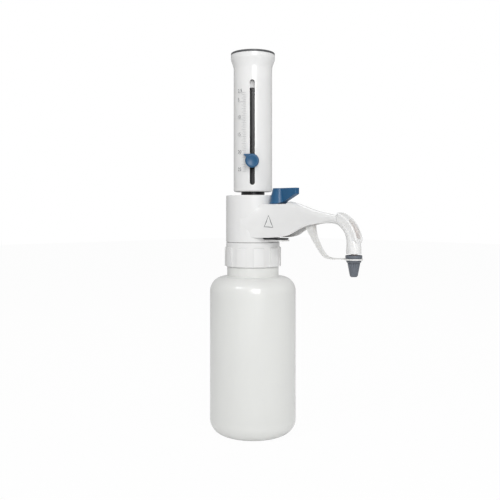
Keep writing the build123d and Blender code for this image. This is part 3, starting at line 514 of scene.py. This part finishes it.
keepPiece(arrowOutline(), "head", "grey_plastic", ink)
print("arrow printed")

# The cap's strap and the valve's spring are copied into pieces of their own, and their CAD nodes
# hidden
softPieces = {
    "tether_strap": {
        "piece": "cap_strap", "end body": "cap",
        "start": (0.082, 0, 0.190), "end": (0.113, 0, 0.1715),
    },
    "discharge_valve_spring": {
        "piece": "ball_spring", "end body": "discharge_ball",
        "start": (0.0184, 0, 0.2068), "end": (0.0184, 0, 0.2032),
    },
}
for nodeName, soft in softPieces.items():
    source = nodes[nodeName]
    mesh = source.data.copy()
    mesh.name = soft["piece"]
    mesh.transform(source.matrix_world)
    piece = bpy.data.objects.new(soft["piece"], mesh)
    bpy.context.collection.objects.link(piece)
    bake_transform(piece)
    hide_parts(nodeName)
print("soft pieces blended,", len(softPieces))

# Studio: floor, lights and the camera of the photograph
studio = {
    "distance": 0.6755, "height": 0.2102, "azimuth": 47.0, "aside": -0.0028,
    "lens": 50.4, "sensor": 36.0, "shiftY": -0.074, "worldLight": 0.43,
    "floorShadow": 0.035, "floorGrey": 0.86, "floorHalf": 4.0, "floorZ": -0.0002,
    "aim": (0.02, 0, 0.18),
}


def buildWorld():
    # plain light all round, seen as white by the camera and through glass
    world = bpy.data.worlds.new("studioWorld")
    bpy.context.scene.world = world
    world.use_nodes = True
    tree = world.node_tree
    tree.nodes.clear()
    path = tree.nodes.new("ShaderNodeLightPath")
    seen = tree.nodes.new("ShaderNodeMath")
    seen.operation = "MAXIMUM"
    tree.links.new(path.outputs["Is Camera Ray"], seen.inputs[0])
    tree.links.new(path.outputs["Is Transmission Ray"], seen.inputs[1])
    lit = tree.nodes.new("ShaderNodeBackground")
    lit.inputs["Color"].default_value = (1.0, 1.0, 1.0, 1.0)
    lit.inputs["Strength"].default_value = studio["worldLight"]
    shown = tree.nodes.new("ShaderNodeBackground")
    shown.inputs["Color"].default_value = (1.0, 1.0, 1.0, 1.0)
    shown.inputs["Strength"].default_value = 1.0
    mix = tree.nodes.new("ShaderNodeMixShader")
    tree.links.new(seen.outputs[0], mix.inputs[0])
    tree.links.new(lit.outputs[0], mix.inputs[1])
    tree.links.new(shown.outputs[0], mix.inputs[2])
    out = tree.nodes.new("ShaderNodeOutputWorld")
    tree.links.new(mix.outputs[0], out.inputs[0])


def floorMaterial():
    # nearly white to the camera, with a trace of the shadow on it
    finish = Finish("studioFloor")
    path = finish.add("ShaderNodeLightPath")
    cameraRay = Wire(finish, path.outputs["Is Camera Ray"])
    seen = (cameraRay + Wire(finish, path.outputs["Is Transmission Ray"])).clamp()
    matte = finish.add("ShaderNodeBsdfDiffuse", {}, {"Color": (*[studio["floorGrey"]] * 3, 1.0)})
    white = finish.add("ShaderNodeEmission", {}, {"Color": (1.0, 1.0, 1.0, 1.0), "Strength": 1.0})
    mix = finish.add(
        "ShaderNodeMixShader", {},
        {0: seen * (1 - studio["floorShadow"]), 1: matte.outputs[0], 2: white.outputs[0]},
    )
    finish.tree.links.new(mix.outputs[0], finish.output.inputs[0])
    return finish.material


def softBox(name, place, target, size, power):
    data = bpy.data.lights.new(name, "AREA")
    data.shape = "RECTANGLE"
    data.size, data.size_y = size
    data.energy = power
    lamp = bpy.data.objects.new(name, data)
    bpy.context.collection.objects.link(lamp)
    lamp.location = place
    aim = Vector(target) - Vector(place)
    lamp.rotation_euler = aim.to_track_quat("-Z", "Y").to_euler()
    return lamp


bpy.context.scene.view_settings.view_transform = "Standard"
buildWorld()
floorMesh = bmesh.new()
bmesh.ops.create_grid(floorMesh, x_segments=1, y_segments=1, size=studio["floorHalf"])
floor = meshObject("floor", floorMesh)
floor.location = (0, 0, studio["floorZ"])
floor.data.materials.append(floorMaterial())

azimuth = math.radians(studio["azimuth"])
toCamera = Vector((math.sin(azimuth), -math.cos(azimuth), 0))
toRight = Vector((math.cos(azimuth), math.sin(azimuth), 0))
lamps = {
    "frontLight": {"turn": 8.0, "lift": 24.0, "reach": 1.3, "size": (0.45, 0.8), "power": 8.0},
    "rightLight": {"turn": 58.0, "lift": 44.0, "reach": 1.2, "size": (0.20, 0.15), "power": 1.1},
    "leftLight": {"turn": -46.0, "lift": 44.0, "reach": 1.2, "size": (0.30, 0.20), "power": 2.0},
    "backLight": {"turn": 180.0, "lift": 52.0, "reach": 1.2, "size": (0.7, 0.7), "power": 2.4},
}
for lampName, lamp in lamps.items():
    turn = math.radians(lamp["turn"])
    lift = math.radians(lamp["lift"])
    level = toRight * math.sin(turn) + toCamera * math.cos(turn)
    aim = Vector(studio["aim"])
    spot = aim + lamp["reach"] * (level * math.cos(lift) + Vector((0, 0, math.sin(lift))))
    softBox(lampName, spot, aim, lamp["size"], lamp["power"])

cameraData = bpy.data.cameras.new("photoCamera")
cameraData.lens = studio["lens"]
cameraData.sensor_width = studio["sensor"]
cameraData.shift_y = studio["shiftY"]
camera = bpy.data.objects.new("photoCamera", cameraData)
bpy.context.collection.objects.link(camera)
camera.location = toCamera * studio["distance"] + toRight * studio["aside"]
camera.location.z = studio["height"]
camera.rotation_euler = (math.pi / 2, 0, azimuth)
bpy.context.scene.camera = camera
print("studio ready")
